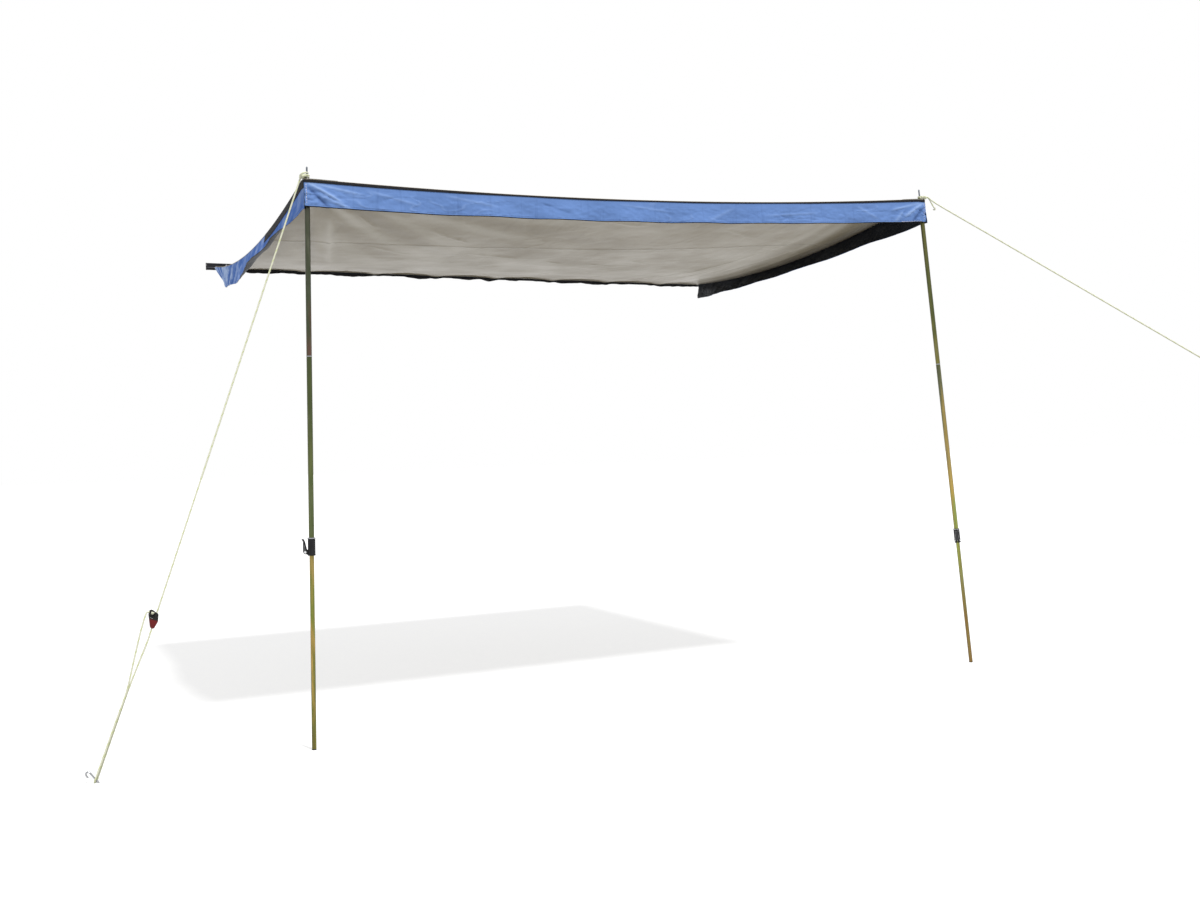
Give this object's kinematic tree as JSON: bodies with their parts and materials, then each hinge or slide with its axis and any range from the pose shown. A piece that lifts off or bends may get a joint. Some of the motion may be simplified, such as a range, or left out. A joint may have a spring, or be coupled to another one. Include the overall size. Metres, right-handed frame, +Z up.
{
  "type": "vehicle side awning",
  "caption": "Fabric side awning hung from a screwed keder rail, with hanging valances, telescopic poles with cam-lever clamps and pegged guy lines.",
  "frame": {"origin": "on the rail's flat back face at mid length, level with the keder channel", "axes": "+X along the rail towards its right end seen from the front, -Y away from the wall that carries the rail, +Z up"},
  "size_m": [4.1741, 2.7613, 2.138],
  "materials": {
    "black_aluminium": "black anodised extrusion",
    "black_plastic": "fine moulded grain",
    "steel": "bright zinc plated",
    "yellow_zinc": "yellow chromate zinc with green and gold streaks",
    "roof_cloth": "woven canvas, grey-brown below and charcoal above",
    "blue_cloth": "woven canvas, blue outside and black inside",
    "dark_tape": "woven binding tape",
    "rope": "braided pale yellow cord",
    "red_plastic": "moulded dark red"
  },
  "bodies": {
    "rail": {"awning_rail": "black_aluminium", "rail_screw_1": "steel", "rail_screw_2": "steel", "rail_screw_3": "steel", "rail_screw_4": "steel", "rail_screw_5": "steel", "rail_screw_6": "steel", "rail_cap_left": "black_plastic", "rail_cap_right": "black_plastic"},
    "keder": {"keder_strip": "black_plastic"},
    "canopy": {"canopy_roof": "roof_cloth", "front_valance": "blue_cloth", "left_valance": "blue_cloth", "right_valance": "blue_cloth", "front_edge_tape": "dark_tape", "left_edge_tape": "dark_tape", "right_edge_tape": "dark_tape", "corner_patch_left": "dark_tape", "corner_patch_right": "dark_tape", "eyelet_left": "steel", "eyelet_right": "steel"},
    "left_pole": {"left_spike_pin": "steel", "left_top_plug": "black_plastic", "left_upper_tube": "yellow_zinc", "left_joint_sleeve": "steel", "left_middle_tube": "yellow_zinc", "left_clamp_body": "black_plastic", "left_clamp_bolt": "steel", "left_clamp_nut": "steel"},
    "left_lever": {"left_clamp_lever": "steel"},
    "left_lower": {"left_lower_tube": "yellow_zinc", "left_foot_plug": "black_plastic"},
    "right_pole": {"right_spike_pin": "steel", "right_top_plug": "black_plastic", "right_upper_tube": "yellow_zinc", "right_joint_sleeve": "steel", "right_middle_tube": "yellow_zinc", "right_clamp_body": "black_plastic", "right_clamp_bolt": "steel", "right_clamp_nut": "steel"},
    "right_lever": {"right_clamp_lever": "steel"},
    "right_lower": {"right_lower_tube": "yellow_zinc", "right_foot_plug": "black_plastic"},
    "left_guy": {"left_rope_knot": "rope", "left_guy_rope": "rope", "left_ground_peg": "steel"},
    "left_slider": {"left_runner": "red_plastic", "left_end_knot": "rope"},
    "right_guy": {"right_rope_knot": "rope", "right_guy_rope": "rope", "right_rope_end": "rope"}
  },
  "joints": [
    {"name": "canopy_slide", "type": "slide", "parent": "rail", "child": "keder", "axis": [1, 0, 0], "range_m": [-0.02, 0.02]},
    {"name": "canopy_tilt", "type": "hinge", "parent": "keder", "child": "canopy", "pos_m": [0, -0.0074, 0], "axis": [-1, 0, 0], "range_deg": [-8, 8]},
    {"name": "left_pole_swing", "type": "hinge", "parent": "canopy", "child": "left_pole", "pos_m": [-1.312, -1.868, 0.031], "axis": [1, 0, 0], "range_deg": [-1, 6]},
    {"name": "left_telescope", "type": "slide", "parent": "left_pole", "child": "left_lower", "axis": [-0.022, -0.0141, -0.9997], "range_m": [-0.36, 0.12]},
    {"name": "left_lever_turn", "type": "hinge", "parent": "left_pole", "child": "left_lever", "pos_m": [-1.35653, -1.87724, -1.21932], "axis": [-0.4445, -0.8955, 0.0224], "range_deg": [0, 100]},
    {"name": "right_pole_swing", "type": "hinge", "parent": "canopy", "child": "right_pole", "pos_m": [1.285, -1.923, 0.109], "axis": [1, 0, 0], "range_deg": [-1, 6]},
    {"name": "right_telescope", "type": "slide", "parent": "right_pole", "child": "right_lower", "axis": [0.0996, -0.0035, -0.995], "range_m": [-0.36, 0.12]},
    {"name": "right_lever_turn", "type": "hinge", "parent": "right_pole", "child": "right_lever", "pos_m": [1.41797, -1.94227, -1.34593], "axis": [0.741, -0.6672, 0.0766], "range_deg": [0, 100]},
    {"name": "left_guy_swivel", "type": "hinge", "parent": "canopy", "child": "left_guy", "pos_m": [-1.312, -1.868, 0.031], "axis": [0, 0, 1], "range_deg": [-12, 12]},
    {"name": "left_slider_slide", "type": "slide", "parent": "left_guy", "child": "left_slider", "axis": [0.3304, 0.0328, 0.9433], "range_m": [-0.03, 0.06]},
    {"name": "right_guy_swivel", "type": "hinge", "parent": "canopy", "child": "right_guy", "pos_m": [1.285, -1.923, 0.109], "axis": [0, 0, 1], "range_deg": [-12, 12]}
  ]
}
